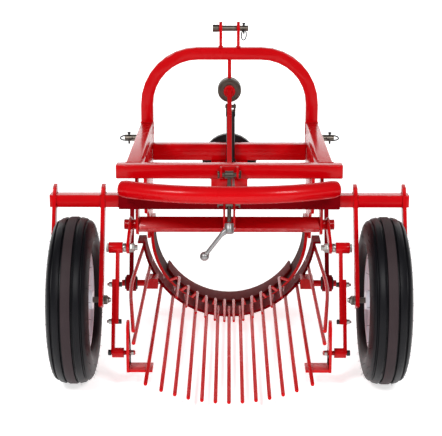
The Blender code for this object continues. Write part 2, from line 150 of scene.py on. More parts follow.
def makeFinish(name, settings):
    made = bpy.data.materials.new(name)
    made.use_nodes = True
    tree = made.node_tree
    link = tree.links.new
    shader = tree.nodes["Principled BSDF"]
    shader.inputs["Metallic"].default_value = settings.get("metal", 0.0)
    shader.inputs["Specular IOR Level"].default_value = settings.get("specular", 0.5)
    shader.inputs["Coat Weight"].default_value = settings.get("coat", 0.0)
    shader.inputs["Coat Roughness"].default_value = 0.05
    grain = addNode(tree, "ShaderNodeGroup", node_tree=grainGroup)
    grain.inputs["Fine Scale"].default_value = settings.get("fine", 900.0)
    grain.inputs["Broad Scale"].default_value = settings.get("broad", 7.0)
    wear = addNode(tree, "ShaderNodeGroup", node_tree=wearGroup)
    wear.inputs["Dust"].default_value = settings.get("dust", 0.15)
    tone = addNode(tree, "ShaderNodeMix", data_type="RGBA")
    tone.inputs["A"].default_value = (*settings["low"], 1)
    tone.inputs["B"].default_value = (*settings["high"], 1)
    link(grain.outputs["Tone"], tone.inputs["Factor"])
    worn = addNode(tree, "ShaderNodeMix", data_type="RGBA")
    worn.inputs["B"].default_value = (*settings.get("worn", settings["low"]), 1)
    link(wear.outputs["Worn"], worn.inputs["Factor"])
    link(tone.outputs["Result"], worn.inputs["A"])
    dusted = addNode(tree, "ShaderNodeMix", data_type="RGBA")
    dusted.inputs["B"].default_value = (*settings.get("dustColour", (0.32, 0.27, 0.22)), 1)
    link(wear.outputs["Dusty"], dusted.inputs["Factor"])
    link(worn.outputs["Result"], dusted.inputs["A"])
    link(dusted.outputs["Result"], shader.inputs["Base Color"])
    rough = addNode(tree, "ShaderNodeMapRange")
    rough.inputs["To Min"].default_value = settings["rough"][0]
    rough.inputs["To Max"].default_value = settings["rough"][1]
    link(grain.outputs["Tone"], rough.inputs["Value"])
    link(rough.outputs[0], shader.inputs["Roughness"])
    bump = addNode(tree, "ShaderNodeBump", {"Strength": settings.get("bump", 0.1), "Distance": 0.0006})
    link(grain.outputs["Height"], bump.inputs["Height"])
    link(bump.outputs[0], shader.inputs["Normal"])
    return made


finishes = {
    "redEnamel": dict(
        low=(0.49, 0.0, 0.002), high=(0.59, 0.0, 0.003), rough=(0.20, 0.32), coat=0.12, specular=0.12,
        fine=420, bump=0.05, dust=0.01, worn=(0.40, 0.005, 0.005),
    ),
    # painted shade: a darker red that stands in for the shadow on red parts that sit in shade
    "shadeRed": dict(
        low=(0.14, 0.0, 0.002), high=(0.27, 0.0, 0.004), rough=(0.5, 0.66), specular=0.03,
        fine=420, bump=0.08, dust=0.0, worn=(0.08, 0.0, 0.001),
    ),
    "shareBrown": dict(
        low=(0.045, 0.006, 0.005), high=(0.11, 0.013, 0.011), rough=(0.55, 0.7), specular=0.04,
        fine=260, broad=22, bump=0.2, dust=0.01,
    ),
    "bladeRed": dict(
        low=(0.10, 0.003, 0.004), high=(0.20, 0.006, 0.006), rough=(0.5, 0.65), specular=0.03,
        fine=300, bump=0.1, dust=0.01,
    ),
    "zincPlate": dict(
        low=(0.30, 0.30, 0.28), high=(0.52, 0.52, 0.50), rough=(0.22, 0.42), metal=1.0,
        fine=700, broad=60, bump=0.12, dust=0.05,
    ),
    "brownSteel": dict(
        low=(0.08, 0.066, 0.055), high=(0.22, 0.19, 0.16), rough=(0.3, 0.5), metal=1.0,
        fine=500, broad=45, bump=0.15, dust=0.1,
    ),
    "castSilver": dict(
        low=(0.26, 0.26, 0.26), high=(0.40, 0.40, 0.40), rough=(0.36, 0.5), metal=0.9,
        fine=380, broad=30, bump=0.35, dust=0.05,
    ),
    "blackBolt": dict(
        low=(0.012, 0.012, 0.013), high=(0.035, 0.035, 0.038), rough=(0.35, 0.5), metal=0.5,
        fine=500, bump=0.15, dust=0.05,
    ),
    "blackGuard": dict(
        low=(0.004, 0.004, 0.005), high=(0.010, 0.010, 0.011), rough=(0.3, 0.45), specular=0.2,
        fine=900, bump=0.2,
    ),
    "treadRubber": dict(
        low=(0.002, 0.002, 0.003), high=(0.006, 0.006, 0.008), rough=(0.34, 0.5), specular=0.16,
        fine=500, bump=0.25, dust=0.02, dustColour=(0.03, 0.027, 0.03),
    ),
    "ribRubber": dict(
        low=(0.020, 0.013, 0.015), high=(0.050, 0.034, 0.037), rough=(0.5, 0.68), specular=0.12,
        fine=300, bump=0.3, dust=0.02,
    ),
    "bushRubber": dict(
        low=(0.008, 0.008, 0.008), high=(0.02, 0.02, 0.02), rough=(0.6, 0.75), fine=600, bump=0.3,
    ),
    "rimEnamel": dict(
        low=(0.62, 0.62, 0.68), high=(0.76, 0.76, 0.82), rough=(0.25, 0.4), coat=0.3,
        fine=500, bump=0.05, dust=0.04,
    ),
}
mat = {name: makeFinish(name, settings) for name, settings in finishes.items()}
finishSlot = {
    "red_paint": "redEnamel",
    # the dark red slot is drawn with the painted shade red
    "dark_red_paint": "shadeRed",
    "zinc_steel": "zincPlate",
    "black_plastic": "blackGuard",
    "tyre_rubber": "treadRubber",
    "bush_rubber": "bushRubber",
    "rim_paint": "rimEnamel",
}
# nodes whose finish differs from the usual one of their slot
nodeFinish = {
    "top_link_pin": "brownSteel",
    "hub_collar": "brownSteel",
    "drive_shaft": "blackGuard",
    "jack_nut": "brownSteel",
    "left_axle": "brownSteel",
    "right_axle": "brownSteel",
    "left_hitch_pin": "brownSteel",
    "right_hitch_pin": "brownSteel",
    "share_blade": "bladeRed",
    # painted shade: the rocker shaft and the cross tube, in the shadow behind the curved tube, get the darker
    # red
    "rocker_shaft": "shadeRed",
    "lift_tube": "redEnamel",
    "wheel_cross_tube": "shadeRed",
    "left_sieve_bracket": "redEnamel",
    "right_sieve_bracket": "redEnamel",
}
print("materials ready:", len(mat))


# what counts as one point, as flat and as an edge to round, in metres and degrees
edgeShape = {"samePoint": 1e-6, "flat": 1.0, "steps": 3, "rounded": 42, "sharp": 38}


def newPiece(name, bm, finish, body, smooth=35, merge=True):
    if merge:
        bmesh.ops.remove_doubles(bm, verts=bm.verts, dist=edgeShape["samePoint"])
    bmesh.ops.recalc_face_normals(bm, faces=bm.faces)
    mesh = bpy.data.meshes.new(name)
    bm.to_mesh(mesh)
    bm.free()
    piece = bpy.data.objects.new(name, mesh)
    bpy.context.scene.collection.objects.link(piece)
    for one in finish if isinstance(finish, (list, tuple)) else [finish]:
        mesh.materials.append(mat[one])
    mesh.shade_smooth()
    mesh.set_sharp_from_angle(angle=radians(smooth))
    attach(piece, body)
    return piece


def pathFrames(points):
    points = [Vector(point) for point in points]
    found = []
    for i, point in enumerate(points):
        after = points[min(i + 1, len(points) - 1)] - point
        before = point - points[max(i - 1, 0)]
        along = (after.normalized() + before.normalized()).normalized()
        guide = Vector((0, 0, 1)) if abs(along.z) < 0.9 else Vector((0, 1, 0))
        side = along.cross(guide).normalized()
        found.append((point, side, side.cross(along)))
    return found


def addRod(bm, points, radii, segments=20, faceMaterial=0):
    # round bar along points; radii is one number or one for each point
    if not isinstance(radii, (list, tuple)):
        radii = [radii] * len(points)
    rings = []
    for (point, side, up), radius in zip(pathFrames(points), radii):
        turns = [2 * pi * i / segments for i in range(segments)]
        rings.append([bm.verts.new(point + (side * cos(t) + up * sin(t)) * radius) for t in turns])
    for first, second in zip(rings, rings[1:]):
        for i in range(segments):
            j = (i + 1) % segments
            bm.faces.new((first[i], first[j], second[j], second[i])).material_index = faceMaterial
    bm.faces.new(rings[0]).material_index = faceMaterial
    bm.faces.new(rings[-1]).material_index = faceMaterial


def addTurned(bm, profile, centre, segments=96, materialOf=lambda i: 0):
    # closed profile of (x, radius) turned about an axis along X
    rings = []
    for i in range(segments):
        t = 2 * pi * i / segments
        spots = [(centre[0] + a, centre[1] + r * sin(t), centre[2] - r * cos(t)) for a, r in profile]
        rings.append([bm.verts.new(spot) for spot in spots])
    count = len(profile)
    for i in range(segments):
        first, second = rings[i], rings[(i + 1) % segments]
        for j in range(count):
            k = (j + 1) % count
            bm.faces.new((first[j], first[k], second[k], second[j])).material_index = materialOf(j)


def addBlock(bm, centre, size):
    for vert in bmesh.ops.create_cube(bm, size=1.0)["verts"]:
        vert.co = Vector(centre) + Vector([part * whole for part, whole in zip(vert.co, size)])


def dropNode(piece, *nodes):
    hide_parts(*nodes)


def finishNode(node, width):
    # the CAD solid with its loose triangles joined and every hard edge rounded
    bm = bmesh.new()
    bm.from_mesh(cad[node].data)
    bmesh.ops.remove_doubles(bm, verts=bm.verts, dist=edgeShape["samePoint"])
    bmesh.ops.dissolve_limit(bm, angle_limit=radians(edgeShape["flat"]), verts=bm.verts, edges=bm.edges)
    finish = nodeFinish.get(node, finishSlot[slotOf[node]])
    piece = newPiece(node + "_finished", bm, finish, bodyOf[node], merge=False)
    bevel = piece.modifiers.new("rounding", "BEVEL")
    bevel.width = width
    bevel.segments = edgeShape["steps"]
    bevel.limit_method = "ANGLE"
    bevel.angle_limit = radians(edgeShape["rounded"])
    graph = bpy.context.evaluated_depsgraph_get()
    mesh = bpy.data.meshes.new_from_object(piece.evaluated_get(graph))
    piece.modifiers.clear()
    piece.data = mesh
    mesh.shade_smooth()
    mesh.set_sharp_from_angle(angle=radians(edgeShape["sharp"]))
    dropNode(piece, node)
    return piece


def makeScatterTree():
    # sets one template on every point, turned along the point's own direction
    tree = bpy.data.node_groups.new("setOnPoints", "GeometryNodeTree")
    face = tree.interface
    face.new_socket("Geometry", in_out="INPUT", socket_type="NodeSocketGeometry")
    inputs = {"Template": "Object", "Finish": "Material", "Seed": "Int"}
    inputs.update({"Smallest": "Float", "Largest": "Float"})
    for label, kind in inputs.items():
        face.new_socket(label, in_out="INPUT", socket_type="NodeSocket" + kind)
    face.new_socket("Geometry", in_out="OUTPUT", socket_type="NodeSocketGeometry")
    start = tree.nodes.new("NodeGroupInput")
    end = tree.nodes.new("NodeGroupOutput")
    link = tree.links.new
    points = addNode(tree, "GeometryNodeMeshToPoints")
    info = addNode(tree, "GeometryNodeObjectInfo")
    aim = addNode(tree, "GeometryNodeInputNamedAttribute", {"Name": "aim"}, data_type="FLOAT_VECTOR")
    turn = addNode(tree, "FunctionNodeAlignRotationToVector", axis="Z")
    size = addNode(tree, "FunctionNodeRandomValue", data_type="FLOAT")
    put = addNode(tree, "GeometryNodeInstanceOnPoints")
    real = addNode(tree, "GeometryNodeRealizeInstances")
    paint = addNode(tree, "GeometryNodeSetMaterial")
    link(start.outputs["Geometry"], points.inputs["Mesh"])
    link(start.outputs["Template"], info.inputs["Object"])
    link(aim.outputs["Attribute"], turn.inputs["Vector"])
    minimum = [s for s in size.inputs if s.name == "Min" and s.type == "VALUE"][0]
    maximum = [s for s in size.inputs if s.name == "Max" and s.type == "VALUE"][0]
    link(start.outputs["Smallest"], minimum)
    link(start.outputs["Largest"], maximum)
    link(start.outputs["Seed"], size.inputs["Seed"])
    link(points.outputs["Points"], put.inputs["Points"])
    link(info.outputs["Geometry"], put.inputs["Instance"])
    link(turn.outputs["Rotation"], put.inputs["Rotation"])
    value = [s for s in size.outputs if s.type == "VALUE"][0]
    link(value, put.inputs["Scale"])
    link(put.outputs["Instances"], real.inputs["Geometry"])
    link(real.outputs["Geometry"], paint.inputs["Geometry"])
    link(start.outputs["Finish"], paint.inputs["Material"])
    link(paint.outputs["Geometry"], end.inputs["Geometry"])
    return tree


scatterTree = makeScatterTree()


def setOnPoints(name, places, template, finish, body, smallest=1.0, largest=1.0, seed=4, smooth=35):
    # places is a list of (position, direction)
    mesh = bpy.data.meshes.new(name)
    mesh.from_pydata([tuple(p) for p, _ in places], [], [])
    aim = mesh.attributes.new("aim", "FLOAT_VECTOR", "POINT")
    for i, (_, direction) in enumerate(places):
        aim.data[i].vector = direction
    piece = bpy.data.objects.new(name, mesh)
    bpy.context.scene.collection.objects.link(piece)
    step = piece.modifiers.new("set", "NODES")
    step.node_group = scatterTree
    values = {"Template": template, "Finish": mat[finish], "Seed": seed}
    values.update({"Smallest": smallest, "Largest": largest})
    for item in scatterTree.interface.items_tree:
        if item.in_out == "INPUT" and item.name in values:
            step[item.identifier] = values[item.name]
    graph = bpy.context.evaluated_depsgraph_get()
    done = bpy.data.meshes.new_from_object(piece.evaluated_get(graph))
    piece.modifiers.clear()
    piece.data = done
    if mat[finish].name not in [m.name for m in done.materials if m]:
        done.materials.append(mat[finish])
    done.shade_smooth()
    done.set_sharp_from_angle(angle=radians(smooth))
    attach(piece, body)
    return piece


def makeTemplate(name, build):
    bm = bmesh.new()
    build(bm)
    bmesh.ops.recalc_face_normals(bm, faces=bm.faces)
    mesh = bpy.data.meshes.new(name)
    bm.to_mesh(mesh)
    bm.free()
    made = bpy.data.objects.new(name, mesh)
    bpy.context.scene.collection.objects.link(made)
    made.hide_render = True
    return made


def prismRings(bm, rings, segments):
    # stacked rings (z, radius) about Z
    turns = [2 * pi * i / segments for i in range(segments)]
    made = []
    for z, radius in rings:
        made.append([bm.verts.new((radius * cos(t), radius * sin(t), z)) for t in turns])
    for first, second in zip(made, made[1:]):
        for i in range(segments):
            j = (i + 1) % segments
            bm.faces.new((first[i], first[j], second[j], second[i]))
    bm.faces.new(made[0])
    bm.faces.new(made[-1])


def hexNut(bm):
    # about 1 across its flats: washer, nut with its corners turned off, and the bolt's end
    prismRings(bm, ((0.0, 0.70), (0.06, 0.70), (0.06, 0.60)), 24)
    prismRings(bm, ((0.061, 0.50), (0.11, 0.577), (0.62, 0.577), (0.68, 0.50)), 6)
    prismRings(bm, ((0.5, 0.30), (0.98, 0.30), (1.04, 0.26)), 16)


def dropOfWeld(bm):
    bmesh.ops.create_icosphere(bm, subdivisions=2, radius=1.0)
    for vert in bm.verts:
        vert.co.z *= 0.55


def ventHair(bm):
    prismRings(bm, ((-0.10, 0.055), (0.35, 0.040), (0.75, 0.028), (1.0, 0.014)), 5)
    for vert in bm.verts:
        vert.co.x += 0.12 * max(vert.co.z, 0) ** 2


def boltHead(bm):
    prismRings(bm, ((0.0, 0.50), (0.05, 0.577), (0.52, 0.577), (0.60, 0.48)), 6)


nutTemplate = makeTemplate("nutTemplate", hexNut)
weldTemplate = makeTemplate("weldTemplate", dropOfWeld)
hairTemplate = makeTemplate("hairTemplate", ventHair)
headTemplate = makeTemplate("headTemplate", boltHead)
print("helpers ready")


# the CAD solids that keep their shape, by how far their edges are rounded
rounding = {"tube": 0.0035, "plate": 0.0014, "fine": 0.0008}
tubeNodes = (
    "headstock_arch", "left_rail", "right_rail", "front_crossbar", "rear_crossbeam", "wheel_cross_tube",
    "lift_tube",
)
plateNodes = (
    "top_link_ear_left", "top_link_ear_right", "left_side_plate", "right_side_plate", "left_gusset",
    "right_gusset", "jack_upper_lugs", "jack_lower_lugs", "left_lever", "right_lever", "left_sieve_bracket",
    "right_sieve_bracket", "rear_brace", "top_strut", "drive_housing", "share_blade", "rocker_shaft",
    "connecting_rod", "left_wheel_arm", "right_wheel_arm", "left_link", "right_link",
)
fineNodes = (
    "top_link_pin", "left_hitch_pin", "right_hitch_pin", "guard_disc", "input_stub", "jack_nut",
    "left_bush", "right_bush", "left_axle", "right_axle", "left_link_bolt", "right_link_bolt",
)
for group, size in ((tubeNodes, "tube"), (plateNodes, "plate"), (fineNodes, "fine")):
    for node in group:
        finishNode(node, rounding[size])
print("frame pieces finished")

tyreShape = {"halfWidth": 0.0575, "outer": 0.233, "bead": 0.1455, "segments": 128, "ribFaces": 2.2}
# (across, drop below the tread) from the centre rib's edge down to the bead
tyreEdge = (
    (0.0095, 0.0), (0.0125, 0.0015), (0.0140, 0.0075), (0.0170, 0.0080), (0.0185, 0.0030),
    (0.0215, 0.0015), (0.0330, 0.0045), (0.0360, 0.0070), (0.0375, 0.0125), (0.0400, 0.0130),
    (0.0425, 0.0100), (0.0470, 0.0130), (0.0515, 0.0210), (0.0550, 0.0330),
    (tyreShape["halfWidth"], 0.0450), (0.0570, 0.0550), (0.0545, 0.0660), (0.0500, 0.0755),
    (0.0430, 0.0815), (0.0360, 0.0850),
)
# rows of moulding hairs: (across, drop, lean outward, how many, clear of the ground)
hairRows = (
    (0.052, 0.024, 0.8, 34, 0.013), (-0.052, 0.024, -0.8, 34, 0.013), (0.0157, 0.008, 0.12, 22, 0.009),
    (-0.0157, 0.008, -0.12, 22, 0.009), (0.056, 0.055, 1.4, 22, 0.009), (-0.056, 0.055, -1.4, 22, 0.009),
)
hairShape = {"smallest": 0.007, "largest": 0.0135, "seed": 11, "sway": 0.35, "scatter": 0.25}


def tyreProfile():
    top = tyreShape["outer"]
    right = [(0.0, top)] + [(across, top - drop) for across, drop in tyreEdge] + [(0.0320, tyreShape["bead"])]
    left = [(-a, r) for a, r in reversed(right)][:-1]
    return left + right, len(left)


def buildTyre(name, side):
    centre = Vector((side * trackHalf, axle, wheelHeight))
    profile, middle = tyreProfile()

    def ribFace(index):
        return 1 if abs(index + 0.5 - middle) < tyreShape["ribFaces"] else 0

    bm = bmesh.new()
    addTurned(bm, profile, centre, tyreShape["segments"], ribFace)
    tyre = newPiece(name + "_tyre_ribbed", bm, ["treadRubber", "ribRubber"], name + "_wheel", smooth=32)
    dropNode(tyre, name + "_tyre")


def buildHairs(name, side):
    # moulding hairs in rows round the tyre, unevenly spaced and leaning, none through the ground
    centre = Vector((side * trackHalf, axle, wheelHeight))
    scatter = hairShape["scatter"]
    places = []
    for row, (across, drop, lean, count, clear) in enumerate(hairRows):
        for i in range(count):
            t = 2 * pi * (i + 0.37 * row + 0.16 * sin(7.1 * i + row)) / count
            out = Vector((0, sin(t), -cos(t)))
            place = centre + Vector((across, 0, 0)) + out * (tyreShape["outer"] - drop)
            if place.z < clear:
                continue
            sway = Vector((lean + hairShape["sway"] * sin(5.3 * i + row), 0, 0)) + out
            sway += Vector((0, scatter * cos(3.7 * i), scatter * sin(2.9 * i)))
            places.append((place, sway.normalized()))
    hairs = setOnPoints(
        name + "_tyre_vent_hairs", places, hairTemplate, "treadRubber", name + "_wheel",
        hairShape["smallest"], hairShape["largest"], hairShape["seed"],
    )


rimShape = {
    "edge": 0.1452, "nutCircle": 0.073, "nuts": 5, "nut": 0.014, "backFace": -0.0150, "frontFace": -0.0105,
    "segments": 96,
}
# (across, radius) round the dished disc and the hub's bore
rimHub = (
    (-0.0110, 0.100), (-0.0150, 0.086), (-0.0150, 0.060), (-0.0105, 0.046), (-0.0105, 0.029),
    (-0.0480, 0.0265), (-0.0500, 0.0245), (-0.0500, 0.0088), (0.0500, 0.0088), (0.0500, 0.0245),
    (0.0480, 0.0265), (-0.0060, 0.029), (-0.0060, 0.046), (-0.0105, 0.060), (-0.0105, 0.086),
    (-0.0065, 0.100),
)
# (across, drop below the edge) of the well on either side of the disc
rimBack = (
    (-0.0365, 0.0), (-0.0375, 0.003), (-0.0360, 0.007), (-0.0300, 0.008), (-0.0240, 0.017),
    (-0.0120, 0.020), (-0.0100, 0.026),
)
rimFront = (
    (-0.0050, 0.026), (0.0080, 0.020), (0.0240, 0.017), (0.0300, 0.008), (0.0360, 0.007),
    (0.0375, 0.003), (0.0365, 0.0),
)


def buildRim(name, side):
    centre = Vector((side * trackHalf, axle, wheelHeight))
    back, front = ([(a, rimShape["edge"] - drop) for a, drop in half] for half in (rimBack, rimFront))
    bm = bmesh.new()
    addTurned(bm, [*back, *rimHub, *front], centre, rimShape["segments"])
    rim = newPiece(name + "_rim_dished", bm, "rimEnamel", name + "_wheel", smooth=30)
    dropNode(rim, name + "_rim")
    places = []
    for i in range(rimShape["nuts"]):
        t = 2 * pi * i / rimShape["nuts"]
        for out, face in ((-1, rimShape["backFace"]), (1, rimShape["frontFace"])):
            spot = Vector((face, rimShape["nutCircle"] * sin(t), rimShape["nutCircle"] * cos(t)))
            places.append((centre + spot, Vector((out, 0, 0))))
    nut = rimShape["nut"]
    nuts = setOnPoints(name + "_rim_nuts", places, nutTemplate, "zincPlate", name + "_wheel", nut, nut)


for name, side in sides:
    buildTyre(name, side)
    buildHairs(name, side)
    buildRim(name, side)
print("wheels made")

sieveShape = {
    "hoopRadius": 0.268, "hoopHeight": 0.302, "near": 0.440, "far": 0.520, "thick": 0.004, "open": 84,
    "tine": 0.0055, "pitch": 0.0355, "outermost": 6, "tail": -0.215, "tailHeight": 0.016, "tailRise": 0.034,
}
# flat foot at each end of the hoop
hoopFoot = {"out": 0.008, "ahead": 0.48, "size": (0.024, 0.078, 0.006)}
# what is only at the basket's sides, as (across, ahead of the axle, height)
sieveSide = {
    "endTail": (0.226, -0.170, 0.049),
    "lowStart": (0.2480, 0.505),
    "lowEnd": (0.2640, -0.070, 0.130),
    "bent": ((0.2655, 0.505, 0.262), (0.290, 0.170, 0.215), (0.2640, -0.070, 0.166)),
    "block": (0.242, 0.417, 0.155),
    "blockSize": (0.040, 0.058, 0.032),
    "pin": ((0.250, 0.400, 0.155), (0.334, 0.400, 0.155)),
    "pinRadius": 0.010,
}
sieveWelds = {"smallest": 0.0030, "largest": 0.0042, "seed": 7}


def ahead(depth):
    return axle + depth


def hoopStrip(bm, shape, steps=96):
    inner, outer = shape["hoopRadius"] - shape["thick"], shape["hoopRadius"] + shape["thick"]
    near, far = shape["near"], shape["far"]
    rings = []
    for i in range(steps + 1):
        t = radians(shape["open"] * (2 * i / steps - 1))
        ring = []
        for r, depth in ((inner, near), (inner, far), (outer, far), (outer, near)):
            ring.append(bm.verts.new((r * sin(t), ahead(depth), shape["hoopHeight"] - r * cos(t))))
        rings.append(ring)
    for first, second in zip(rings, rings[1:]):
        for i in range(4):
            j = (i + 1) % 4
            bm.faces.new((first[i], first[j], second[j], second[i]))
    bm.faces.new(rings[0])
    bm.faces.new(rings[-1])


def tineStart(x):
    return sieveShape["hoopHeight"] - sqrt(sieveShape["hoopRadius"] ** 2 - x * x) + 0.001


def sideSpot(side, spot):
    across, depth, height = spot
    return Vector((side * across, ahead(depth), height))


def smoothPath(points, steps=6):
    # rounds the corners of a short polyline
    points = [Vector(p) for p in points]
    if len(points) < 3:
        return points
    out = [points[0]]
    for a, b, c in zip(points, points[1:], points[2:]):
        reach = min((a - b).length, (c - b).length) * 0.3
        start = b + (a - b).normalized() * reach
        stop = b + (c - b).normalized() * reach
        for i in range(steps + 1):
            t = i / steps
            out.append(start * (1 - t) ** 2 + b * 2 * t * (1 - t) + stop * t * t)
    out.append(points[-1])
    return out


def buildHoop():
    shape = sieveShape
    bm = bmesh.new()
    hoopStrip(bm, shape)
    endX = shape["hoopRadius"] * sin(radians(shape["open"])) + hoopFoot["out"]
    endZ = shape["hoopHeight"] - shape["hoopRadius"] * cos(radians(shape["open"]))
    for side in (-1, 1):
        addBlock(bm, sideSpot(side, (endX, hoopFoot["ahead"], endZ)), hoopFoot["size"])
    # painted shade: the hoop band, in shadow under the share, is drawn in the darker red
    hoop = newPiece("sieve_hoop_band", bm, "shadeRed", "sieve")


def buildTines():
    shape = sieveShape
    bm = bmesh.new()
    radius = shape["tine"]
    last = shape["outermost"]
    for i in range(-last, last + 1):
        x = i * shape["pitch"]
        if abs(i) == last:
            tail = sideSpot(i / last, sieveSide["endTail"])
        else:
            height = shape["tailHeight"] + shape["tailRise"] * (i / (last - 1)) ** 2
            tail = Vector((x * 1.02, ahead(shape["tail"]), height))
        start = Vector((x, ahead(shape["far"] - 0.006), tineStart(x)))
        along = (tail - start).normalized()
        points = [start, start + along * 0.03, tail - along * 0.004, tail - along * 0.0012, tail]
        addRod(bm, points, [radius, radius, radius, radius * 0.9, radius * 0.55], 16)
    across, depth = sieveSide["lowStart"]
    for side in (-1, 1):
        low = (across, depth, tineStart(across))
        addRod(bm, [sideSpot(side, low), sideSpot(side, sieveSide["lowEnd"])], radius, 16)
        addRod(bm, smoothPath([sideSpot(side, spot) for spot in sieveSide["bent"]]), radius, 16)
        addBlock(bm, sideSpot(side, sieveSide["block"]), sieveSide["blockSize"])
        addRod(bm, [sideSpot(side, spot) for spot in sieveSide["pin"]], sieveSide["pinRadius"], 24)
    tines = newPiece("sieve_tines", bm, "redEnamel", "sieve")
    dropNode(tines, "sieve_basket")


def buildSieveWelds():
    shape = sieveShape
    up = Vector((0, 0, 1))
    welds = []
    for i in range(-shape["outermost"], shape["outermost"] + 1):
        x = i * shape["pitch"]
        for depth in (shape["near"] - 0.002, shape["far"] - 0.004):
            for shift in (-1, 1):
                place = Vector((x + shift * shape["tine"] * 0.9, ahead(depth), tineStart(x) + 0.001))
                welds.append((place, up))
    # painted shade: the welds on the hoop take the same darker red as the shadowed hoop
    blobs = setOnPoints(
        "sieve_welds", welds, weldTemplate, "shadeRed", "sieve",
        sieveWelds["smallest"], sieveWelds["largest"], sieveWelds["seed"],
    )


buildHoop()
buildTines()
buildSieveWelds()
print("sieve made")

shareShape = {
    "radius": 0.250, "centre": 0.255, "shoulder": 0.300, "near": 0.600, "far": 0.710, "thick": 0.005,
    "finger": 0.0050, "fingerFoot": 0.606, "knee": 0.556, "inset": 0.043, "reach": 0.211,
}


def buildShareBand():
    shape = shareShape
    bm = bmesh.new()
    steps = 96
    rings = []
    spots = [(-shape["radius"], shape["shoulder"])]
    for i in range(steps + 1):
        t = radians(-90 + 180 * i / steps)
        spots.append((shape["radius"] * sin(t), shape["centre"] - shape["radius"] * cos(t)))
    spots.append((shape["radius"], shape["shoulder"]))
    for i, (x, z) in enumerate(spots):
        a, b = spots[max(i - 1, 0)], spots[min(i + 1, len(spots) - 1)]
        run = sqrt((b[0] - a[0]) ** 2 + (b[1] - a[1]) ** 2)
        nx, nz = -(b[1] - a[1]) / run * shape["thick"], (b[0] - a[0]) / run * shape["thick"]
        ring = [(x + nx, shape["near"], z + nz), (x + nx, shape["far"], z + nz),
                (x - nx, shape["far"], z - nz), (x - nx, shape["near"], z - nz)]
        rings.append([bm.verts.new((px, ahead(d), max(pz, 0.0))) for px, d, pz in ring])
    for first, second in zip(rings, rings[1:]):
        for i in range(4):
            j = (i + 1) % 4
            made = bm.faces.new((first[i], first[j], second[j], second[i]))
            made.material_index = 1 if i in (1, 2, 3) else 0
    bm.faces.new(rings[0]).material_index = 1
    bm.faces.new(rings[-1]).material_index = 1
    band = newPiece("share_band", bm, ["shareBrown", "redEnamel"], "root")
    dropNode(band, "share_hoop")


def buildFingers():
    shape = shareShape
    bm = bmesh.new()
    inset = (shape["radius"] - shape["inset"]) / shape["radius"]
    for i in range(-6, 6):
        x = (i + 0.5) * sieveShape["pitch"]
        drop = sqrt(shape["radius"] ** 2 - x * x)
        foot = Vector((x, ahead(shape["fingerFoot"]), shape["centre"] - drop))
        knee = Vector((x * inset, ahead(shape["knee"]), shape["centre"] - drop * inset))
        path = smoothPath([foot, knee, knee - Vector((0, shape["reach"], 0))])
        radii = [shape["finger"]] * (len(path) - 1) + [shape["finger"] * 0.8]
        addRod(bm, path, radii, 16)
    fingers = newPiece("share_fingers", bm, "redEnamel", "root")


buildShareBand()
buildFingers()

bowShape = {
    "radius": 0.0245, "half": 0.300, "height": 0.534, "near": 0.001, "bow": 0.076, "power": 2.4, "steps": 48,
    "segments": 40,
}


def buildBow():
    # the tube that bows away towards its ends
    shape = bowShape
    path = []
    for i in range(shape["steps"] + 1):
        x = -shape["half"] + 2 * shape["half"] * i / shape["steps"]
        depth = shape["near"] + shape["bow"] * abs(x / shape["half"]) ** shape["power"]
        path.append((x, ahead(depth), shape["height"]))
    radii = [shape["radius"]] * len(path)
    radii[0] = radii[-1] = shape["radius"] * 0.9
    bm = bmesh.new()
    addRod(bm, path, radii, shape["segments"])
    bow = newPiece("curved_tube_smooth", bm, "redEnamel", "root", smooth=50)
    dropNode(bow, "curved_tube")


buildBow()
print("share and curved tube made")

# screw jack: threaded spindle, swivel pins and a cast crank; top and low are (ahead of the axle, height)
jackShape = {
    "top": (0.100, 0.569), "low": (0.065, 0.494), "pitch": 0.004, "stretch": 0.88, "start": 0.012,
    "past": 0.060, "pin": 0.0290, "pinRadius": 0.0060, "chamfer": 0.001, "hubAlong": 0.070,
    "bend": (-0.020, -0.007, -0.014), "knob": (-0.069, -0.010, -0.078), "knobRadius": 0.0130,
}
# (part of a turn, radius) along one thread
threadShape = ((0.0, 0.0050), (0.35, 0.0060), (0.65, 0.0060))
cotterShape = {"gap": 0.0015, "half": 0.011, "lean": 0.001, "radius": 0.0014}


def addHead(bm, centre, x0, x1, radius, segments=24):
    # short round head along X, its edges turned off
    edge = jackShape["chamfer"]
    spots = ((x0, radius - edge), (x0 + edge, radius), (x1 - edge, radius), (x1, radius - edge))
    addRod(bm, [(x, centre.y, centre.z) for x, _ in spots], [r for _, r in spots], segments)


def addCotter(bm, x, centre):
    # a split pin's wires, side by side
    lean, half = cotterShape["lean"], cotterShape["half"]
    for step in (-1, 0, 1):
        foot = Vector((x + step * cotterShape["gap"], centre.y, centre.z - half))
        addRod(bm, [foot, foot + Vector((lean, lean, 2 * half))], cotterShape["radius"], 8)


def buildSpindle(top, along, length):
    shape = jackShape
    points, radii = [], []
    for i in range(int(length / shape["pitch"])):
        for part, radius in threadShape:
            points.append(top + along * (shape["start"] + (i + part) * shape["pitch"] * shape["stretch"]))
            radii.append(radius)
    bm = bmesh.new()
    addRod(bm, points, radii, 24)
    spindle = newPiece("jack_spindle_thread", bm, "brownSteel", "jack_screw", smooth=50)
    dropNode(spindle, "jack_screw")


def buildSwivel(top):
    pin = jackShape["pin"]
    bm = bmesh.new()
    addRod(bm, [(-pin, top.y, top.z), (pin, top.y, top.z)], jackShape["pinRadius"], 24)
    addHead(bm, top, -0.0330, -0.0275, 0.0100)
    addHead(bm, top, -0.0125, 0.0125, 0.0108, 28)
    addCotter(bm, 0.0300, top)
    pins = newPiece("jack_top_swivel", bm, "brownSteel", "jack_screw")


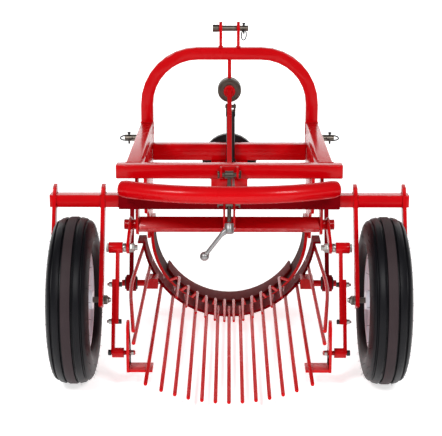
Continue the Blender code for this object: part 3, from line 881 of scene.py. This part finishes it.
def buildCrank(low, along):
    shape = jackShape
    hub = low + along * shape["hubAlong"]
    knob = hub + Vector(shape["knob"])
    bm = bmesh.new()
    stops = ((-0.014, 0.0115), (-0.012, 0.0130), (0.012, 0.0130), (0.014, 0.0115))
    addRod(bm, [hub + along * stop for stop, _ in stops], [radius for _, radius in stops], 32)
    arm = smoothPath([hub, hub + Vector(shape["bend"]), knob], 8)
    addRod(bm, arm, [0.0085 - 0.0030 * i / (len(arm) - 1) for i in range(len(arm))], 24)
    collar = knob + (hub - knob).normalized() * 0.014
    addRod(bm, [collar, collar + (knob - collar) * 0.25, knob], [0.0065, 0.0085, 0.0080], 24)
    place = Matrix.Translation(knob)
    bmesh.ops.create_uvsphere(bm, u_segments=32, v_segments=20, radius=shape["knobRadius"], matrix=place)
    crank = newPiece("jack_crank", bm, "castSilver", "jack_screw", smooth=60)


def buildPinEnds(low):
    bm = bmesh.new()
    for x0, x1 in ((-0.030, -0.0175), (0.0175, 0.030)):
        addRod(bm, [(x0, low.y, low.z), (x1, low.y, low.z)], 0.0062, 24)
    addHead(bm, low, -0.0335, -0.0280, 0.0100)
    addCotter(bm, 0.0280, low)
    ends = newPiece("jack_low_pin_ends", bm, "brownSteel", "jack_nut")


jackTop, jackLow = (Vector((0, ahead(jackShape[end][0]), jackShape[end][1])) for end in ("top", "low"))
jackAlong = (jackLow - jackTop).normalized()
buildSpindle(jackTop, jackAlong, (jackLow - jackTop).length + jackShape["past"])
buildSwivel(jackTop)
buildCrank(jackLow, jackAlong)
buildPinEnds(jackLow)

collarShape = {
    "height": 0.697, "radius": 0.039, "bore": 0.0195, "near": 0.795, "far": 0.845, "segments": 72,
    "screwCircle": 0.0335, "screwTurns": (-18, 62, 142, 222, 302), "screw": 0.0034,
}
# (along, radius) of the shaft from its foot, which is at (across, ahead of the axle, height)
shaftShape = {
    "low": (0.004, 0.7162, 0.4736), "high": (0.004, 0.769, 0.633),
    "steps": (
        (0.0, 0.0165), (0.010, 0.0165), (0.011, 0.0140), (0.150, 0.0140), (0.151, 0.0160), (0.164, 0.0160),
    ),
}
yokeShape = {
    "base": 0.162, "neck": ((0.0, 0.012), (0.003, 0.016), (0.010, 0.016)), "cheek": 0.013,
    "cheekAlong": 0.018, "cheekSize": (0.006, 0.020, 0.024), "pin": 0.018, "pinAlong": 0.022,
    "pinRadius": 0.0055,
}


def addTurnedY(bm, profile, height, segments=64):
    # closed profile of (depth, radius) turned about an axis along Y at this height
    rings = []
    for i in range(segments):
        t = 2 * pi * i / segments
        rings.append([bm.verts.new((r * sin(t), ahead(d), height + r * cos(t))) for d, r in profile])
    for i in range(segments):
        first, second = rings[i], rings[(i + 1) % segments]
        for j in range(len(profile)):
            k = (j + 1) % len(profile)
            bm.faces.new((first[j], first[k], second[k], second[j]))


def buildCollar():
    shape = collarShape
    near, far, outer, groove = shape["near"], shape["far"], shape["radius"], shape["radius"] - 0.004
    profile = [
        (near, shape["bore"]), (near, 0.030), (near + 0.003, 0.0320), (near + 0.003, groove),
        (near + 0.006, outer), (near + 0.020, outer), (near + 0.023, groove), (near + 0.030, groove),
        (near + 0.033, outer), (far - 0.002, outer), (far, outer - 0.002), (far, shape["bore"]),
    ]
    bm = bmesh.new()
    addTurnedY(bm, profile, shape["height"], shape["segments"])
    circle = shape["screwCircle"]
    for angle in shape["screwTurns"]:
        t = radians(angle)
        screw = Vector((circle * sin(t), ahead(near + 0.0028), shape["height"] + circle * cos(t)))
        addRod(bm, [screw + Vector((0, 0.004, 0)), screw - Vector((0, 0.0006, 0))], shape["screw"], 14)
    ring = newPiece("hub_collar_turned", bm, "brownSteel", "root", smooth=30)
    dropNode(ring, "hub_collar")


def buildShaft():
    low, high = (sideSpot(1, shaftShape[end]) for end in ("low", "high"))
    along = (high - low).normalized()
    bm = bmesh.new()
    steps = shaftShape["steps"]
    addRod(bm, [low + along * stop for stop, _ in steps], [radius for _, radius in steps], 32)
    shaft = newPiece("drive_shaft_tube", bm, "blackGuard", "root")
    dropNode(shaft, "drive_shaft")
    shape = yokeShape
    base = low + along * shape["base"]
    bm = bmesh.new()
    neck = shape["neck"]
    addRod(bm, [base + along * stop for stop, _ in neck], [radius for _, radius in neck], 28)
    for side in (-1, 1):
        cheek = base + Vector((side * shape["cheek"], 0, 0)) + along * shape["cheekAlong"]
        addBlock(bm, cheek, shape["cheekSize"])
    pin = base + along * shape["pinAlong"]
    half = Vector((shape["pin"], 0, 0))
    addRod(bm, [pin - half, pin + half], shape["pinRadius"], 20)
    yoke = newPiece("drive_shaft_yoke", bm, "brownSteel", "root")


buildCollar()
buildShaft()
print("jack and drive made")

# nuts and bolt heads: spots are (ahead of the axle, height), and boltAcross is how far out each kind sits
nutShape = {"small": 0.013, "medium": 0.020, "head": 0.013, "footHead": 0.015}
linkTop, linkFoot = (0.062, 0.367), (-0.050, 0.095)
linkFlats = ((0.0225, 0.2710), (-0.0171, 0.1750))
boltAcross = {
    "inner": 0.2792, "foot": 0.2735, "flats": 0.3280, "axle": 0.3510, "flatHeads": 0.3080, "footHead": 0.3278,
}


def at(x, spot):
    return Vector((x, ahead(spot[0]), spot[1]))


def buildBolts():
    for name, side in sides:
        out = Vector((side, 0, 0))
        rows = (
            ("inner", "link_bolts", -out, nutShape["medium"], (linkTop,)),
            ("foot", "links", -out, nutShape["small"], (linkFoot,)),
            ("flats", "links", out, nutShape["small"], linkFlats),
            ("axle", name + "_arm", -out, nutShape["medium"], ((0, wheelHeight),)),
        )
        for label, body, facing, size, spots in rows:
            for i, spot in enumerate(spots):
                place = [(at(side * boltAcross[label], spot), facing)]
                nutName = f"{name}_{label}_nut_{i}"
                made = setOnPoints(nutName, place, nutTemplate, "zincPlate", body, size, size)
        heads = [(at(side * boltAcross["flatHeads"], spot), -out) for spot in linkFlats]
        size = nutShape["head"]
        made = setOnPoints(name + "_link_bolt_heads", heads, headTemplate, "blackBolt", "links", size, size)
        foot = [(at(side * boltAcross["footHead"], linkFoot), out)]
        size = nutShape["footHead"]
        made = setOnPoints(name + "_foot_bolt_head", foot, headTemplate, "blackBolt", "links", size, size)


buildBolts()


def addRing(bm, centre, normal, radius, wire, segments=40, wireSides=8):
    normal = Vector(normal).normalized()
    guide = Vector((0, 0, 1)) if abs(normal.z) < 0.9 else Vector((1, 0, 0))
    a = normal.cross(guide).normalized()
    b = normal.cross(a)
    turns = [2 * pi * j / wireSides for j in range(wireSides)]
    rings = []
    for i in range(segments):
        t = 2 * pi * i / segments
        out = a * cos(t) + b * sin(t)
        spots = [centre + out * (radius + wire * cos(u)) + normal * wire * sin(u) for u in turns]
        rings.append([bm.verts.new(spot) for spot in spots])
    for i in range(segments):
        first, second = rings[i], rings[(i + 1) % segments]
        for j in range(wireSides):
            k = (j + 1) % wireSides
            bm.faces.new((first[j], first[k], second[k], second[j]))


linchShape = {
    "side": {
        "across": 0.338, "reach": 0.016, "ring": (0.008, -0.010, 0.002), "normal": (0.0, -0.22, 1.0),
        "radius": 0.0205,
    },
    "top": {
        "across": 0.047, "reach": 0.014, "ring": (0.0, -0.010, -0.021), "normal": (0.87, -0.5, 0.0),
        "radius": 0.0165,
    },
    "rod": 0.0030, "head": 0.0052, "wire": 0.0022,
}


def buildLinchPins():
    pins = (
        ("left", -1, "side", "left_hitch_pin"),
        ("right", 1, "side", "left_hitch_pin"),
        ("top", 1, "top", "top_link_pin"),
    )
    for name, side, kind, node in pins:
        shape = linchShape[kind]
        middle = centreOf(node)
        place = Vector((side * shape["across"], middle.y, middle.z))
        up = Vector((0, 0, 1))
        reach = shape["reach"]
        bm = bmesh.new()
        addRod(bm, [place + up * reach, place - up * (reach + 0.004)], linchShape["rod"], 14)
        addRod(bm, [place + up * (reach - 0.002), place + up * (reach + 0.004)], linchShape["head"], 16)
        across, depth, height = shape["ring"]
        ring = place + Vector((side * across, depth, height))
        addRing(bm, ring, shape["normal"], shape["radius"], linchShape["wire"])
        made = newPiece(name + "_linch_pin", bm, "blackBolt", "root", smooth=50)


buildLinchPins()

# weld beads along the frame's joints
weldShape = {
    "smallest": 0.0026, "largest": 0.0038, "step": 0.0026, "seed": 5, "armScale": 0.8, "armSeed": 3,
    "railHalf": 0.0195, "armHalf": 0.0175, "armAcross": (0.352, 0.363, 0.490),
}


def weldLine(points):
    places = []
    for a, b in zip(points, points[1:]):
        a, b = Vector(a), Vector(b)
        count = max(int((b - a).length / weldShape["step"]), 1)
        for i in range(count):
            places.append((a.lerp(b, i / count), Vector((0, 0, 1))))
    return places


def squareLoop(x, halfX, depth, z0, z1):
    left, right = x - halfX, x + halfX
    return [(left, depth, z0), (left, depth, z1), (right, depth, z1), (right, depth, z0), (left, depth, z0)]


def boxCorners(node):
    return [Vector(corner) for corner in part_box(node)]


def armLoop(x, middle):
    half = weldShape["armHalf"]
    turns = ((-1, -1), (-1, 1), (1, 1), (1, -1), (-1, -1))
    return [(x, middle.y + a * half, middle.z + b * half) for a, b in turns]


def buildWelds():
    rootLines = []
    small, large, scale = weldShape["smallest"], weldShape["largest"], weldShape["armScale"]
    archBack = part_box("headstock_arch")[0][1]
    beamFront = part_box("rear_crossbeam")[1][1]
    railLow, railHigh = boxCorners("left_rail")
    for name, side in sides:
        x = side * abs((railLow.x + railHigh.x) / 2)
        for depth in (archBack, beamFront):
            loop = squareLoop(x, weldShape["railHalf"], depth, railLow.z + 0.001, railHigh.z - 0.0005)
            rootLines += weldLine(loop)
        low, high = boxCorners("top_link_ear_" + name)
        for depth in (low.y, high.y):
            rootLines += weldLine([(low.x, depth, low.z), (high.x, depth, low.z)])
        for edge in (low.x, high.x):
            rootLines += weldLine([(edge, low.y, low.z), (edge, high.y, low.z)])
        low, high = boxCorners(name + "_gusset")
        for edge in (low.x, high.x):
            rootLines += weldLine([(edge, low.y, high.z - 0.001), (edge, high.y, high.z - 0.001)])
        armLines = []
        middle = centreOf("wheel_cross_tube")
        for x in weldShape["armAcross"]:
            armLines += weldLine(armLoop(side * x, middle))
        made = setOnPoints(
            name + "_arm_welds", armLines, weldTemplate, "redEnamel", name + "_arm",
            small * scale, large * scale, weldShape["armSeed"],
        )
    made = setOnPoints(
        "frame_welds", rootLines, weldTemplate, "redEnamel", "root", small, large, weldShape["seed"]
    )


buildWelds()
print("bolts, linch pins and welds made")
for template in (nutTemplate, weldTemplate, hairTemplate, headTemplate):
    bpy.data.objects.remove(template)


# pale floor and wall that glow a little, so that the ground stays white under soft lamps
lightShape = {
    "sky": 0.20, "glow": 0.68, "wall": 1.0, "aim": (0, 0, 0.35),
    "lamps": (("key", (-2.0, -3.2, 3.2), 1.0, 105), ("fill", (2.0, -3.2, 3.0), 1.0, 80)),
}
stageShape = {"half": 9, "far": 7, "floor": -0.0008, "top": 6, "tone": 0.93, "rough": 0.9}


def buildStage():
    bm = bmesh.new()
    half, far, low, top = (stageShape[key] for key in ("half", "far", "floor", "top"))
    spots = (
        (-half, -half, low), (half, -half, low), (half, far, low), (-half, far, low), (half, far, top),
        (-half, far, top),
    )
    corners = [bm.verts.new(spot) for spot in spots]
    bm.faces.new(corners[:4])
    bm.faces.new((corners[3], corners[2], corners[4], corners[5])).material_index = 1
    mesh = bpy.data.meshes.new("floor")
    bm.to_mesh(mesh)
    bm.free()
    floor = bpy.data.objects.new("floor", mesh)
    bpy.context.scene.collection.objects.link(floor)
    pale = bpy.data.materials.new("paleFloor")
    pale.use_nodes = True
    shader = pale.node_tree.nodes["Principled BSDF"]
    shader.inputs["Base Color"].default_value = (*[stageShape["tone"]] * 3, 1)
    shader.inputs["Roughness"].default_value = stageShape["rough"]
    shader.inputs["Emission Color"].default_value = (1, 1, 1, 1)
    shader.inputs["Emission Strength"].default_value = lightShape["glow"]
    mesh.materials.append(pale)
    wall = pale.copy()
    wall.name = "paleWall"
    wall.node_tree.nodes["Principled BSDF"].inputs["Emission Strength"].default_value = lightShape["wall"]
    mesh.materials.append(wall)
    world = bpy.data.worlds.new("studio")
    bpy.context.scene.world = world
    world.use_nodes = True
    sky = world.node_tree.nodes["Background"]
    sky.inputs["Color"].default_value = (1, 1, 1, 1)
    sky.inputs["Strength"].default_value = lightShape["sky"]
    for name, place, size, power in lightShape["lamps"]:
        light = bpy.data.lights.new(name, "AREA")
        light.size = size
        light.energy = power
        lamp = bpy.data.objects.new(name, light)
        lamp.location = place
        facing = Vector(lightShape["aim"]) - Vector(place)
        lamp.rotation_euler = facing.to_track_quat("-Z", "Y").to_euler()
        bpy.context.scene.collection.objects.link(lamp)


buildStage()
cameraShape = {"behindAxle": 3.32, "height": 1.344, "pitchDown": 14.75, "turn": 0.39, "lens": 101.8}
view = bpy.data.cameras.new("rearView")
view.lens = cameraShape["lens"]
camera = bpy.data.objects.new("rearView", view)
camera.location = (0, axle - cameraShape["behindAxle"], cameraShape["height"])
camera.rotation_euler = (radians(90 - cameraShape["pitchDown"]), 0, radians(cameraShape["turn"]))
bpy.context.scene.collection.objects.link(camera)
bpy.context.scene.camera = camera
bpy.context.scene.view_settings.view_transform = "Standard"
